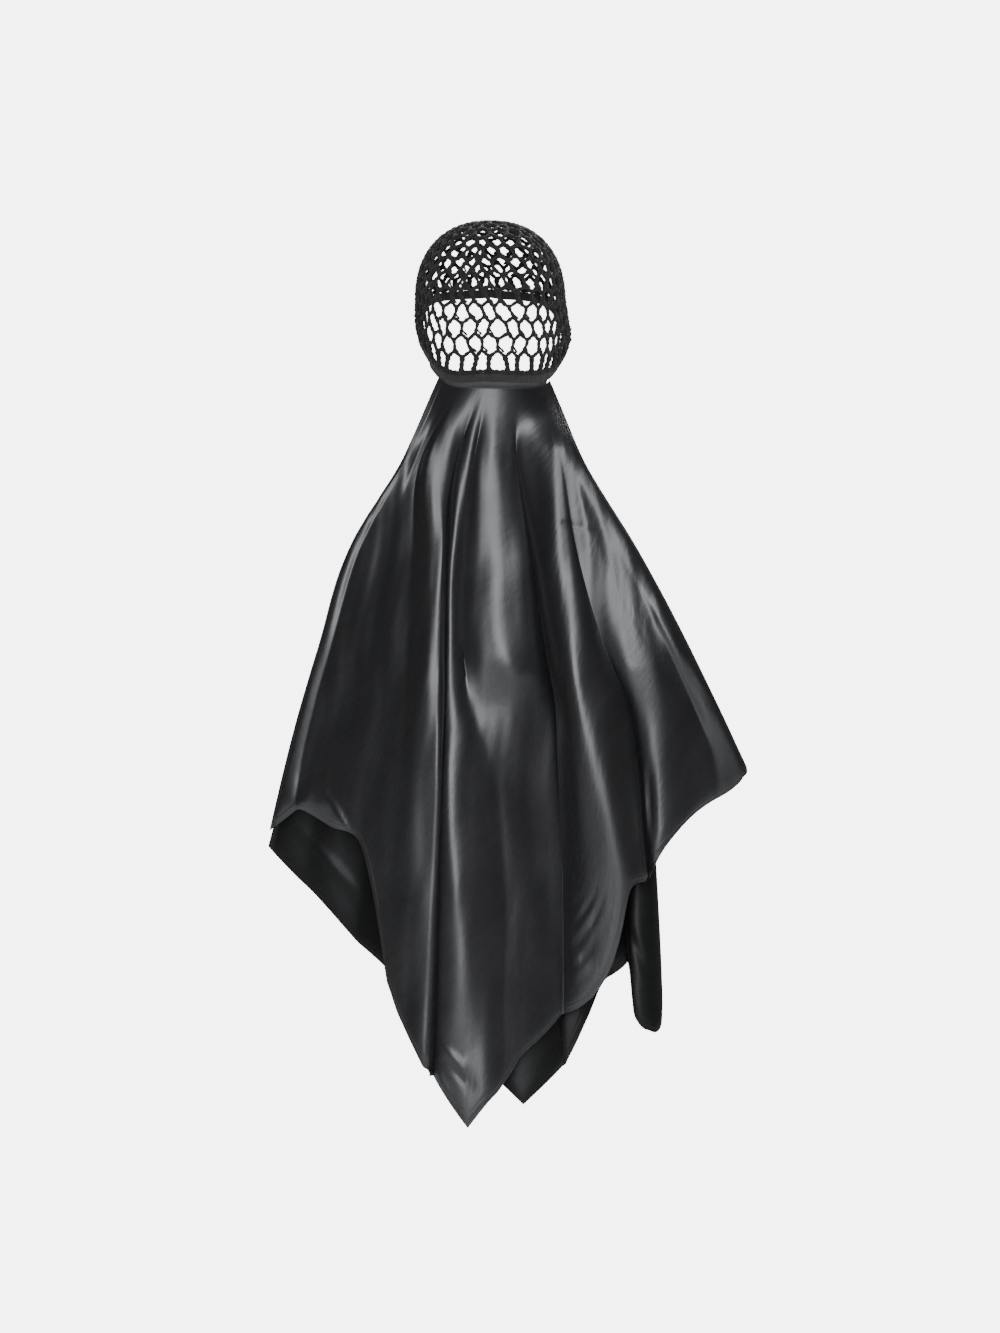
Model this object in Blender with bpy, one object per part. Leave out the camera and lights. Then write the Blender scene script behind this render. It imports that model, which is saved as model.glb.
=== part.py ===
"""Hair wrap cap: a crocheted net cap on an elastic rim, with a two-layer satin veil sewn on at the nape.

The wearer faces +Y, +Z is up and the veil hangs behind, on the -Y side.
The origin is the crown seat, the point on the head's top that carries the cap.
"""

import math
from collections import namedtuple

import bpy
import numpy as np

# The head that the cap is made for, measured under the net.
HEAD_HALF_BREADTH = 0.0720
HEAD_HALF_LENGTH = 0.0930
CROWN_RISE = 0.0775
NAPE_REACH = 0.1280
HEAD_SQUARENESS = 2.3
EAR_SWELL = 0.0080
EAR_SPREAD = 0.36
EAR_AROUND, EAR_POLAR = math.radians(88), math.radians(119)

# The net, worked in rounds from a small start ring behind the crown.
POLE_TILT = math.radians(12)
NET_STRAND = 0.0034
START_RING_RADIUS = 0.0070
ROUND_ZIGZAG = 0.0020
ROUND_POSTS = (6, 12, 20, 25, 28, 28)
POST_LEVELLING = 0.6
NET_HEM_EASE = 0.0006

# The elastic rim band and the satin binding below it.
RIM_DEPTH = 0.158
BAND_HEIGHT = 0.0080
BAND_THICKNESS = 0.0026
BAND_STATIONS = 60
BINDING_HEIGHT = 0.0060
BINDING_THICKNESS = 0.0018
BINDING_HALF_STEPS = 8
SEAM_HALF_ANGLE = math.radians(60)
EDGE_CHAMFER_SHARE = 0.25
RIM_SEARCH_STEPS = 30
RIM_SEARCH_FROM, RIM_SEARCH_TO = math.radians(60), math.radians(150)
SEAT_GAP = 0.0003

# The veil: two layers of satin, hung by a cut-off corner.
VEIL_SPAN = 0.458
VEIL_DROP = 0.740
VEIL_SIDE_SHIFT = 0.020
CLOTH_THICKNESS = 0.0012
FOLD_DEPTH = 0.026
BACK_SWELL = 0.062
SIDE_WRAP = 0.085
LAYER_SPACING = 0.040
SEAM_SPACING = 0.0034

# Depths down the veil, as shares of VEIL_DROP, at which its shape has changed over.
SEAM_EVENED_BY = 0.12
CAPE_TAKEN_BY = 0.16
LAYERS_PARTED_BY = 0.34
SWELL_TOP_AT = 0.42
SWELL_RETURN = 0.15

# Rim: the angle round the head from the nape in degrees, positive to the wearer's right, and the depth of the
# band's lower edge below the crown, as a share of RIM_DEPTH.
RIM = (
    (-180, 0.450),
    (-140, 0.490),
    (-105, 0.620),
    (-78, 0.735),
    (-57, 0.815),
    (-44, 0.900),
    (-34, 0.968),
    (0, 1.000),
    (42, 0.990),
    (53, 0.970),
    (64, 0.925),
    (76, 0.861),
    (90, 0.790),
    (112, 0.650),
    (140, 0.510),
    (180, 0.450),
)

# Depths at which the fold tables give their places, as shares of VEIL_DROP, from the seam down.
STATIONS = (0.0, 0.10, 0.22, 0.36, 0.50, 0.65, 0.85)

# Each row is one crest or hollow, from the wearer's left to right.
# seam: its place on the seam, as a share of HEAD_HALF_BREADTH.
# across: its place at each station below, as a share of half of VEIL_SPAN.
# stand_out: how far it stands out behind at the seam and each station, as a share of FOLD_DEPTH.
# hem: how far down the hem lies below it, as a share of VEIL_DROP.
Fold = namedtuple("Fold", ("seam", "across", "stand_out", "hem"))

OUTER_FOLDS = {
    "left_edge": Fold(
        seam=-0.71,
        across=(-0.50, -0.68, -0.81, -0.95, -1.06, -1.14),
        stand_out=(0, -0.1, -0.2, -0.3, -0.3, -0.4, -0.4),
        hem=0.601,
    ),
    "left_crest": Fold(
        seam=-0.64,
        across=(-0.45, -0.62, -0.74, -0.86, -0.92, -0.96),
        stand_out=(0, 0.1, 0.2, 0.3, 0.4, 0.4, 0.4),
        hem=0.573,
    ),
    "left_hollow": Fold(
        seam=-0.61,
        across=(-0.42, -0.55, -0.66, -0.73, -0.76, -0.76),
        stand_out=(0, -0.1, -0.3, -0.5, -0.6, -0.6, -0.5),
        hem=0.596,
    ),
    "low_ripple": Fold(
        seam=-0.55,
        across=(-0.39, -0.49, -0.58, -0.64, -0.66, -0.65),
        stand_out=(0, 0, -0.2, -0.3, -0.3, -0.4, -0.4),
        hem=0.63,
    ),
    "deep_hollow": Fold(
        seam=-0.52,
        across=(-0.38, -0.44, -0.49, -0.52, -0.55, -0.52),
        stand_out=(0, -0.1, -0.5, -0.9, -1, -0.9, -0.7),
        hem=0.795,
    ),
    "long_crest": Fold(
        seam=-0.45,
        across=(-0.31, -0.32, -0.34, -0.37, -0.41, -0.42),
        stand_out=(0, 0.2, 0.5, 0.6, 0.7, 0.8, 0.7),
        hem=0.907,
    ),
    "pleat_line": Fold(
        seam=-0.33,
        across=(-0.23, -0.28, -0.29, -0.29, -0.30, -0.32),
        stand_out=(0, -0.1, -0.4, -0.5, -0.5, -0.4, -0.1),
        hem=0.95,
    ),
    "tip_crest": Fold(
        seam=-0.26,
        across=(-0.20, -0.25, -0.26, -0.26, -0.22, -0.20),
        stand_out=(0, 0.2, 0.3, 0.3, 0.3, 0.6, 0.7),
        hem=1,
    ),
    "tip_hollow": Fold(
        seam=-0.17,
        across=(-0.17, -0.20, -0.19, -0.14, -0.09, -0.06),
        stand_out=(0, -0.1, -0.2, -0.4, -0.2, -0.1, 0),
        hem=0.949,
    ),
    "middle_crest": Fold(
        seam=-0.04,
        across=(-0.08, -0.06, -0.03, 0.01, 0.04, 0.03),
        stand_out=(0, 0.2, 0.5, 0.8, 0.4, 0.2, 0.3),
        hem=0.92,
    ),
    "middle_hollow": Fold(
        seam=0.25,
        across=(0.03, 0.11, 0.18, 0.21, 0.22, 0.16),
        stand_out=(0, -0.1, -0.5, -0.9, -1, -1, -0.7),
        hem=0.864,
    ),
    "right_crest": Fold(
        seam=0.37,
        across=(0.10, 0.19, 0.28, 0.38, 0.51, 0.66),
        stand_out=(0, 0.1, 0.3, 0.6, 0.8, 0.8, 0.7),
        hem=0.673,
    ),
    "right_hollow": Fold(
        seam=0.47,
        across=(0.15, 0.26, 0.39, 0.48, 0.58, 0.72),
        stand_out=(0, 0, -0.2, -0.5, -0.8, -0.7, -0.7),
        hem=0.655,
    ),
    "panel_fold": Fold(
        seam=0.56,
        across=(0.22, 0.39, 0.52, 0.59, 0.64, 0.79),
        stand_out=(0, 0.2, 0.4, 0.3, 0.3, 0.4, 0.4),
        hem=0.628,
    ),
    "panel_hollow": Fold(
        seam=0.63,
        across=(0.26, 0.45, 0.63, 0.71, 0.76, 0.88),
        stand_out=(0, 0, 0.1, -0.2, -0.3, -0.3, -0.3),
        hem=0.588,
    ),
    "corner_crest": Fold(
        seam=0.72,
        across=(0.30, 0.49, 0.75, 0.95, 1.14, 1.40),
        stand_out=(0, 0.1, 0.2, 0.3, 0.3, 0.3, 0.2),
        hem=0.528,
    ),
    "right_edge": Fold(
        seam=0.82,
        across=(0.33, 0.54, 0.80, 1.01, 1.24, 1.53),
        stand_out=(0, 0, 0, 0, 0, -0.1, -0.1),
        hem=0.518,
    ),
}

INNER_FOLDS = {
    "left_edge": Fold(
        seam=-0.68,
        across=(-0.48, -0.65, -0.78, -0.92, -1.07, -1.14),
        stand_out=(0, 0.1, 0.4, 0.7, 0.9, 0.9, 0.9),
        hem=0.623,
    ),
    "left_crest": Fold(
        seam=-0.61,
        across=(-0.43, -0.57, -0.68, -0.78, -0.86, -0.93),
        stand_out=(0, 0.1, 0.2, 0.2, 0.3, 0.3, 0.3),
        hem=0.676,
    ),
    "left_hollow": Fold(
        seam=-0.52,
        across=(-0.36, -0.46, -0.53, -0.59, -0.64, -0.69),
        stand_out=(0, 0, -0.2, -0.2, -0.2, -0.2, -0.2),
        hem=0.743,
    ),
    "low_crest": Fold(
        seam=-0.39,
        across=(-0.26, -0.31, -0.33, -0.35, -0.36, -0.36),
        stand_out=(0, 0.1, 0.2, 0.2, 0.2, 0.2, 0.2),
        hem=0.845,
    ),
    "tip_hollow": Fold(
        seam=-0.23,
        across=(-0.17, -0.18, -0.18, -0.17, -0.17, -0.15),
        stand_out=(0, 0, -0.2, -0.3, -0.3, -0.2, -0.1),
        hem=0.912,
    ),
    "tip_crest": Fold(
        seam=-0.07,
        across=(-0.10, -0.07, -0.04, -0.01, 0.01, 0.04),
        stand_out=(0, 0.1, 0.2, 0.2, 0.2, 0.3, 0.3),
        hem=0.97,
    ),
    "middle_hollow": Fold(
        seam=0.09,
        across=(-0.02, 0.04, 0.09, 0.13, 0.17, 0.21),
        stand_out=(0, 0, -0.2, -0.3, -0.3, -0.3, -0.2),
        hem=0.912,
    ),
    "right_crest": Fold(
        seam=0.25,
        across=(0.05, 0.14, 0.21, 0.26, 0.30, 0.33),
        stand_out=(0, 0.1, 0.2, 0.2, 0.2, 0.3, 0.3),
        hem=0.842,
    ),
    "notch": Fold(
        seam=0.37,
        across=(0.11, 0.23, 0.32, 0.38, 0.41, 0.43),
        stand_out=(0, 0, -0.1, -0.2, -0.2, -0.2, -0.2),
        hem=0.8,
    ),
    "tail_start": Fold(
        seam=0.45,
        across=(0.17, 0.30, 0.40, 0.46, 0.50, 0.52),
        stand_out=(0, 0, 0, -0.1, -0.1, -0.1, -0.1),
        hem=0.778,
    ),
    "tail_side": Fold(
        seam=0.50,
        across=(0.19, 0.34, 0.44, 0.49, 0.52, 0.55),
        stand_out=(0, 0, 0.1, 0.1, 0.2, 0.3, 0.4),
        hem=0.828,
    ),
    "tail_crest": Fold(
        seam=0.56,
        across=(0.23, 0.38, 0.50, 0.56, 0.59, 0.60),
        stand_out=(0, 0.1, 0.2, 0.2, 0.3, 0.5, 0.7),
        hem=0.868,
    ),
    "tail_back": Fold(
        seam=0.62,
        across=(0.25, 0.41, 0.54, 0.60, 0.63, 0.66),
        stand_out=(0, 0, 0, 0, 0, 0, 0.1),
        hem=0.846,
    ),
    "behind_tail": Fold(
        seam=0.67,
        across=(0.27, 0.44, 0.57, 0.62, 0.63, 0.64),
        stand_out=(0, 0, -0.1, -0.3, -0.5, -0.6, -0.7),
        hem=0.63,
    ),
    "hidden_crest": Fold(
        seam=0.72,
        across=(0.29, 0.47, 0.65, 0.76, 0.83, 0.88),
        stand_out=(0, 0, 0.1, 0.2, 0.1, 0.1, 0.1),
        hem=0.558,
    ),
    "right_edge": Fold(
        seam=0.77,
        across=(0.31, 0.51, 0.76, 0.97, 1.16, 1.43),
        stand_out=(0, 0, 0, 0, 0, -0.1, -0.1),
        hem=0.507,
    ),
}

NET_BLACK = (0.020, 0.018, 0.017)
BAND_BLACK = (0.012, 0.012, 0.013)
SATIN_GREY = (0.030, 0.030, 0.034)
SATIN_BLACK = (0.010, 0.010, 0.012)
SATIN_BACK = (0.016, 0.016, 0.018)

OUTER_GRID = {"between_folds": 3, "down": 24}
INNER_GRID = {"between_folds": 2, "down": 18}


def smooth_lookup(at, places, values):
    """Cubic curve through (places, values), read at the points `at`, straight on past both ends."""
    places = np.asarray(places, float)
    values = np.asarray(values, float)
    slopes = np.gradient(values, places)
    i = np.clip(np.searchsorted(places, at, side="right") - 1, 0, len(places) - 2)
    step = places[i + 1] - places[i]
    s = (at - places[i]) / step
    inside = np.clip(s, 0, 1)
    s2, s3 = inside**2, inside**3
    curve = (
        (2 * s3 - 3 * s2 + 1) * values[i]
        + (s3 - 2 * s2 + inside) * step * slopes[i]
        + (3 * s2 - 2 * s3) * values[i + 1]
        + (s3 - s2) * step * slopes[i + 1]
    )
    beyond = (s - inside) * step
    return curve + beyond * np.where(s > 1, slopes[i + 1], slopes[i])


def eased(share):
    """0 to 1 with level ends."""
    share = np.clip(share, 0, 1)
    return share * share * (3 - 2 * share)


def pole_direction(around, polar):
    """Unit vector from the head's middle, by the angle from the start ring and the angle round it."""
    pole = np.array([0, -math.sin(POLE_TILT), math.cos(POLE_TILT)])
    napeward = np.array([0, -math.cos(POLE_TILT), -math.sin(POLE_TILT)])
    right = np.array([1.0, 0.0, 0.0])
    around, polar = np.broadcast_arrays(np.asarray(around, float), np.asarray(polar, float))
    ring = np.cos(around)[..., None] * napeward + np.sin(around)[..., None] * right
    return np.cos(polar)[..., None] * pole + np.sin(polar)[..., None] * ring


def head_radius(direction):
    """Distance from the head's middle to its surface: a squarish ellipsoid with the covered ear's swell."""
    below = direction[..., 2] < 0
    height = np.where(below, NAPE_REACH, CROWN_RISE)
    total = (
        (np.abs(direction[..., 0]) / HEAD_HALF_BREADTH) ** HEAD_SQUARENESS
        + (np.abs(direction[..., 1]) / HEAD_HALF_LENGTH) ** HEAD_SQUARENESS
        + (np.abs(direction[..., 2]) / height) ** HEAD_SQUARENESS
    )
    ear = pole_direction(EAR_AROUND, EAR_POLAR)
    away = np.arccos(np.clip(direction @ ear, -1, 1))
    return total ** (-1 / HEAD_SQUARENESS) + EAR_SWELL * np.exp(-((away / EAR_SPREAD) ** 2))


def on_head(around, polar, standoff):
    """Point at `standoff` over the head, for angles given as arrays or numbers."""
    direction = pole_direction(around, polar)
    reach = head_radius(direction) + standoff
    return np.array([0.0, 0.0, -CROWN_RISE]) + reach[..., None] * direction


def rim_polar(around, rise=0.0):
    """Polar angle of the rim band's lower edge, or of the line that runs `rise` above it."""
    around = np.asarray(around, float)
    turned = (np.degrees(around) + 180) % 360 - 180
    depth = RIM_DEPTH * smooth_lookup(turned, *zip(*RIM))
    above, below = np.full(around.shape, RIM_SEARCH_FROM), np.full(around.shape, RIM_SEARCH_TO)
    for _ in range(RIM_SEARCH_STEPS):
        middle = (above + below) / 2
        too_high = -on_head(around, middle, 0.0)[..., 2] < depth
        above, below = np.where(too_high, middle, above), np.where(too_high, below, middle)
    return above - rise / head_radius(pole_direction(around, above))


def add_object(name, points, faces, colour, roughness, sheen=0.0):
    """New mesh object with its own Principled material."""
    mesh = bpy.data.meshes.new(name)
    mesh.from_pydata([tuple(p) for p in np.asarray(points, float)], [], [tuple(map(int, f)) for f in faces])
    mesh.validate()
    obj = bpy.data.objects.new(name, mesh)
    bpy.context.scene.collection.objects.link(obj)
    material = bpy.data.materials.new(name)
    material.use_nodes = True
    shader = material.node_tree.nodes["Principled BSDF"]
    shader.inputs["Base Color"].default_value = (*colour, 1)
    shader.inputs["Roughness"].default_value = roughness
    shader.inputs["Metallic"].default_value = 0
    shader.inputs["Sheen Weight"].default_value = sheen
    mesh.materials.append(material)
    return obj


def next_round(tops, count):
    """Angles of the next round's posts: one in each arch above, and two in evenly spread arches."""
    arches = len(tops)
    widths = (np.roll(tops, -1) - tops) % (2 * math.pi)
    extra = count - arches
    doubled = {int((k + 0.5) * arches / extra) for k in range(extra)}
    angles = []
    for k in range(arches):
        shares = (1 / 3, 2 / 3) if k in doubled else (1 / 2,)
        angles += [tops[k] + widths[k] * share for share in shares]
    return np.array(angles)


def net_rounds():
    """For each round of posts: the angles of their tops and of their feet, which even out the spacing."""
    rounds = []
    tops = np.arange(ROUND_POSTS[0]) * 2 * math.pi / ROUND_POSTS[0]
    for k, count in enumerate(ROUND_POSTS):
        if k:
            tops = next_round(rounds[-1][1], count)
        start = tops[0] + np.mean(np.unwrap(tops) - tops[0] - np.arange(count) * 2 * math.pi / count)
        level = start + np.arange(count) * 2 * math.pi / count
        rounds.append((np.unwrap(tops), np.unwrap(tops) + POST_LEVELLING * (level - np.unwrap(tops))))
    return rounds


def net_point(around, share, lift):
    """Net vertex at a share of the way from the start ring to the band, moved back up by `lift`."""
    hem_rise = BAND_HEIGHT + SEAT_GAP + NET_STRAND / 2 + NET_HEM_EASE
    first = START_RING_RADIUS / CROWN_RISE
    last = float(rim_polar(around, hem_rise))
    polar = first + share * (last - first)
    polar -= lift / float(head_radius(pole_direction(around, polar)))
    return on_head(around, polar, NET_STRAND / 2)


def make_net_crown():
    """The net as cells: each round's neighbouring posts and the two rings between them bound one gap."""
    rounds = net_rounds()
    rows = len(rounds)
    points, rings = [], []

    def add(around, share, lift):
        points.append(net_point(around, share, lift))
        return len(points) - 1

    feet = [None] * rows
    tops = [None] * rows
    for r in range(rows + 1):
        share = r / rows
        level = r in (0, rows)
        zigzag = 0 if level else ROUND_ZIGZAG
        members = []
        if r < rows:
            tops[r] = [add(a, share, -zigzag) for a in rounds[r][0]]
            members += [(a % (2 * math.pi), i) for a, i in zip(rounds[r][0], tops[r])]
        if r:
            feet[r - 1] = [add(a, share, zigzag) for a in rounds[r - 1][1]]
            members += [(a % (2 * math.pi), i) for a, i in zip(rounds[r - 1][1], feet[r - 1])]
        rings.append([i for _, i in sorted(members)])

    def stretch(ring, start, end):
        """Ring vertices from start to end, both included, going the way of growing angle."""
        k = ring.index(start)
        found = [start]
        while found[-1] != end:
            k = (k + 1) % len(ring)
            found.append(ring[k])
        return found

    cells = []
    for r in range(rows):
        count = len(rounds[r][0])
        for j in range(count):
            n = (j + 1) % count
            upper = stretch(rings[r], tops[r][j], tops[r][n])
            lower = stretch(rings[r + 1], feet[r][j], feet[r][n])
            cells.append(upper[::-1] + lower)
    net = add_object("net_crown", points, cells, NET_BLACK, 0.9)
    struts = net.modifiers.new("struts", "WIREFRAME")
    struts.thickness = NET_STRAND
    struts.offset = 0
    struts.use_even_offset = True
    struts.use_replace = True
    struts.use_boundary = True
    return net


def strip_faces(stations, corners, closed):
    """Quads that skin `stations` sections of `corners` points each, with end caps on an open strip."""
    faces = []
    for s in range(stations if closed else stations - 1):
        a, b = s * corners, ((s + 1) % stations) * corners
        for c in range(corners):
            d = (c + 1) % corners
            faces.append((a + c, a + d, b + d, b + c))
    if not closed:
        last = (stations - 1) * corners
        faces.append(tuple(reversed(range(corners))))
        faces.append(tuple(last + c for c in range(corners)))
    return faces


def band_section(height, thickness):
    """Chamfered rectangle: (rise above the lower edge, stand-off from the head), going round once."""
    cut = EDGE_CHAMFER_SHARE * thickness
    return (
        (cut, 0),
        (height - cut, 0),
        (height, cut),
        (height, thickness - cut),
        (height - cut, thickness),
        (cut, thickness),
        (0, thickness - cut),
        (0, cut),
    )


def make_rim_strip(name, angles, base_rise, height, thickness, closed, colour, roughness):
    """A strip that follows the rim, with its lower edge `base_rise` above the band's lower edge."""
    section = band_section(height, thickness)
    columns = [on_head(angles, rim_polar(angles, base_rise + rise), out) for rise, out in section]
    points = np.stack(columns, axis=1).reshape(-1, 3)
    return add_object(name, points, strip_faces(len(angles), len(section), closed), colour, roughness)


def seam_line(across):
    """Point of the seam under the binding, for places across given in metres."""
    around = np.linspace(-SEAM_HALF_ANGLE, SEAM_HALF_ANGLE, BAND_STATIONS)
    drop = BINDING_HEIGHT + 2 * SEAT_GAP + CLOTH_THICKNESS / 2
    line = on_head(around, rim_polar(around, -drop), BINDING_THICKNESS / 2)
    return np.stack([np.interp(across, line[:, 0], line[:, k]) for k in range(3)], axis=-1)


def fold_grid(folds, grid):
    """Places across in metres, stand-outs as shares and depths as shares, for each point of a layer's grid.

    The columns run down the crests and hollows, with more columns between them, and end at the hem.
    """
    rows = list(folds.values())
    u = np.linspace(0, len(rows) - 1, (len(rows) - 1) * grid["between_folds"] + 1)
    left = np.clip(u.astype(int), 0, len(rows) - 2)
    part = u - left
    bend = eased(part)
    hem = np.array([row.hem for row in rows])
    depth = np.linspace(0, 1, grid["down"] + 1)[:, None] * ((1 - part) * hem[left] + part * hem[left + 1])
    x = np.zeros_like(depth)
    stand_out = np.zeros_like(depth)
    for k, row in enumerate(rows):
        places = [row.seam * HEAD_HALF_BREADTH] + [VEIL_SIDE_SHIFT + a * VEIL_SPAN / 2 for a in row.across]
        x_weight = np.where(left == k, 1 - part, 0) + np.where(left + 1 == k, part, 0)
        bend_weight = np.where(left == k, 1 - bend, 0) + np.where(left + 1 == k, bend, 0)
        x += x_weight * smooth_lookup(depth, STATIONS, places)
        stand_out += bend_weight * smooth_lookup(depth, STATIONS, row.stand_out)
    return x, stand_out, depth


def veil_sheet(folds, grid, inner):
    """Grid of points of one layer: from the seam it swells out over the back and its sides wrap forward."""
    x, stand_out, depth = fold_grid(folds, grid)
    seam = seam_line(x[0])
    middle = seam_line(np.zeros(1))[0]
    across = (x - VEIL_SIDE_SHIFT) / (VEIL_SPAN / 2)
    below_top = (depth - SWELL_TOP_AT) / (1 - SWELL_TOP_AT)
    swell = BACK_SWELL * (eased(depth / SWELL_TOP_AT) - SWELL_RETURN * eased(below_top))
    taken = eased(depth / CAPE_TAKEN_BY)
    behind = taken * (swell - SIDE_WRAP * across**2 - middle[1]) - (1 - taken) * seam[:, 1]
    behind += FOLD_DEPTH * stand_out
    if inner:
        behind -= SEAM_SPACING + (LAYER_SPACING - SEAM_SPACING) * eased(depth / LAYERS_PARTED_BY)
    z = middle[2] + (seam[:, 2] - middle[2]) * (1 - eased(depth / SEAM_EVENED_BY)) - depth * VEIL_DROP
    return np.stack([x, -behind, z], axis=-1)


def make_veil(name, folds, grid, inner, colour, roughness):
    """One layer as a sheet of quads with the cloth's thickness."""
    points = veil_sheet(folds, grid, inner)
    rows, columns = points.shape[:2]
    faces = [
        (r * columns + c, (r + 1) * columns + c, (r + 1) * columns + c + 1, r * columns + c + 1)
        for r in range(rows - 1)
        for c in range(columns - 1)
    ]
    veil = add_object(name, points.reshape(-1, 3), faces, colour, roughness, sheen=0.3)
    wall = veil.modifiers.new("cloth_thickness", "SOLIDIFY")
    wall.thickness = CLOTH_THICKNESS
    wall.offset = 0
    veil.data.shade_smooth()
    return veil


def clear_scene():
    """Take the start-up scene's objects out."""
    for obj in list(bpy.data.objects):
        bpy.data.objects.remove(obj)


def main():
    """Build the cap from the crown down."""
    clear_scene()
    make_net_crown()
    around = np.arange(BAND_STATIONS) * 2 * math.pi / BAND_STATIONS
    make_rim_strip("rim_band", around, 0, BAND_HEIGHT, BAND_THICKNESS, True, BAND_BLACK, 0.7)
    nape = np.arange(-BINDING_HALF_STEPS, BINDING_HALF_STEPS + 1) * 2 * math.pi / BAND_STATIONS
    below = -(BINDING_HEIGHT + SEAT_GAP)
    make_rim_strip("nape_binding", nape, below, BINDING_HEIGHT, BINDING_THICKNESS, False, SATIN_GREY, 0.4)
    make_veil("veil_outer", OUTER_FOLDS, OUTER_GRID, False, SATIN_BLACK, 0.35)
    make_veil("veil_inner", INNER_FOLDS, INNER_GRID, True, SATIN_BACK, 0.45)


main()
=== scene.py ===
"""Looks of the hair wrap cap: crocheted net, elastic rim, satin binding and two layers of satin.

Everything is in metres in the solids' frame: the wearer faces +Y, the cloth hangs on the -Y side,
and the origin is the seat on top of the head. The sizes are the same as the solids'.
"""

import math
from collections import namedtuple

import bpy
import numpy as np
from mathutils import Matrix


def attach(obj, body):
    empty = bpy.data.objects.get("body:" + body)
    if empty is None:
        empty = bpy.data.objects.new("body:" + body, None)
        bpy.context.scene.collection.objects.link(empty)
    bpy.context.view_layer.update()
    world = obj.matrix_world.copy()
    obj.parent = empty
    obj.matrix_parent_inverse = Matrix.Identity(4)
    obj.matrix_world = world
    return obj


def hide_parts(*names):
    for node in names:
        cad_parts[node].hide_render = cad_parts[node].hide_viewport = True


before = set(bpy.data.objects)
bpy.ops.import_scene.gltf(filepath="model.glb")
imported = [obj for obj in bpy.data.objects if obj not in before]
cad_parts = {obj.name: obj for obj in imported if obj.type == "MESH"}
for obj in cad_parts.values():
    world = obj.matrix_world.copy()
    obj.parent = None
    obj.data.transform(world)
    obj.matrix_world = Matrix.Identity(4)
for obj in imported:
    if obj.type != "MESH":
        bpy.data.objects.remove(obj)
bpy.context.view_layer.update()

# The head that the cap is made for, measured under the net.
HEAD_HALF_BREADTH = 0.072
HEAD_HALF_LENGTH = 0.093
CROWN_RISE = 0.0775
NAPE_REACH = 0.128
HEAD_SQUARENESS = 2.3
HEAD_MIDDLE = np.array([0.0, 0.0, -CROWN_RISE])
EAR_SWELL = 0.008
EAR_SPREAD = 0.36
EAR_AROUND, EAR_POLAR = math.radians(88), math.radians(119)
POLE_TILT = math.radians(12)

# The yarn: the lay is in radians a metre, and the girth is the skin's flat width.
YARN_RADIUS = 0.0019
YARN_SIDES = 8
YARN_LAY = 1150
YARN_GIRTH = 0.008
PLY_SWELL = 0.16

# Slow unevenness of the rounds' yarn: waves round the head, shift and share of the radius.
ROUND_SWELLS = ((97, 0, 0.1), (41, 1, 0.06))

# The crocheted net: rounds of posts, worked from the start ring down to the band.
NET_STANDOFF = 0.0017
START_RING_RADIUS = 0.007
ROUND_POSTS = (7, 14, 20, 26, 31, 35, 38, 40, 41, 41, 41, 41)
ROUND_ZIGZAG = 0.0026
ROUND_STATIONS = 560
WAVE_STRAIGHTNESS = 0.45
NET_TWIST = -0.11
POST_STATIONS = 15
POST_LEVELLING = 0.6
POST_DRIFT = 0.018
POST_BOW = 0.01
POST_END_SWELL = 1.12
POST_WAIST = 0.22
HEM_POST_SWELL = 1.45
HEM_KNOT_SWELL = 1.15

# The second leg at a post's foot: it parts LEG_FROM of the way down the post.
LEG_FROM = 0.45
LEG_FOOT_LIFT = 0.55
LEG_SPREAD = 0.05
LEG_SPREAD_CHANGE = 0.01
LEG_STANDOFF = NET_STANDOFF * 1.1
LEG_RADIUS = YARN_RADIUS * 0.62
LEG_SIDES = 6

KNOT_RADIUS = 0.0025
KNOT_FLATNESS = 0.85
KNOT_RIPPLE = 0.1
KNOT_RINGS = 7
KNOT_SIDES = 8

# The elastic rim band and the satin binding below it.
RIM_DEPTH = 0.158
BAND_HEIGHT = 0.008
BAND_THICKNESS = 0.0026
BAND_RIBS = 220
RIB_STATIONS = 5
RIB_HEIGHT = 0.16
BAND_GATHERS = 31
GATHER_HEIGHT = 0.05
BINDING_HEIGHT = 0.006
BINDING_THICKNESS = 0.0018
BINDING_HALF_ANGLE = math.radians(48)
BINDING_STATIONS = 240
PUCKER_HEIGHT = 0.16
SEAM_HALF_ANGLE = math.radians(60)
SEAM_STATIONS = 60
RIM_SEARCH_STEPS = 30
RIM_SEARCH_FROM, RIM_SEARCH_TO = math.radians(60), math.radians(150)
SEAT_GAP = 0.0003

# How far a sewn edge reaches under its neighbour.
TUCK = 0.0008

# The section of a strip along the rim: its lowest line above the band's lower edge, its sizes and
# the number of points round it. The powers make the ellipse squarish.
Section = namedtuple("Section", ("low", "height", "thickness", "points"))
RISE_POWER, OUT_POWER = 0.5, 0.6

# The veil: two layers of satin, each a square of cloth hung by a cut-off corner. Values that end
# in BY, TO or AT are depths as shares of VEIL_DROP.
VEIL_SPAN = 0.458
VEIL_DROP = 0.74
VEIL_SIDE_SHIFT = 0.02
SOLID_CLOTH = 0.0012
CLOTH_THICKNESS = 0.0008
FOLD_DEPTH = 0.026
FOLDS_OPEN_BY = 0.1
BACK_SWELL = 0.062
SWELL_TOP_AT = 0.42
SWELL_RETURN = 0.15
SIDE_WRAP = 0.085
CAPE_TAKEN_BY = 0.09
SEAM_EVENED_BY = 0.12
RIPPLES_GROWN_BY = 0.12
RIPPLE_DRIFT = 1.3
RIPPLE_SPREAD_TOP, RIPPLE_SPREAD_GROWTH = 0.55, 0.6

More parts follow.
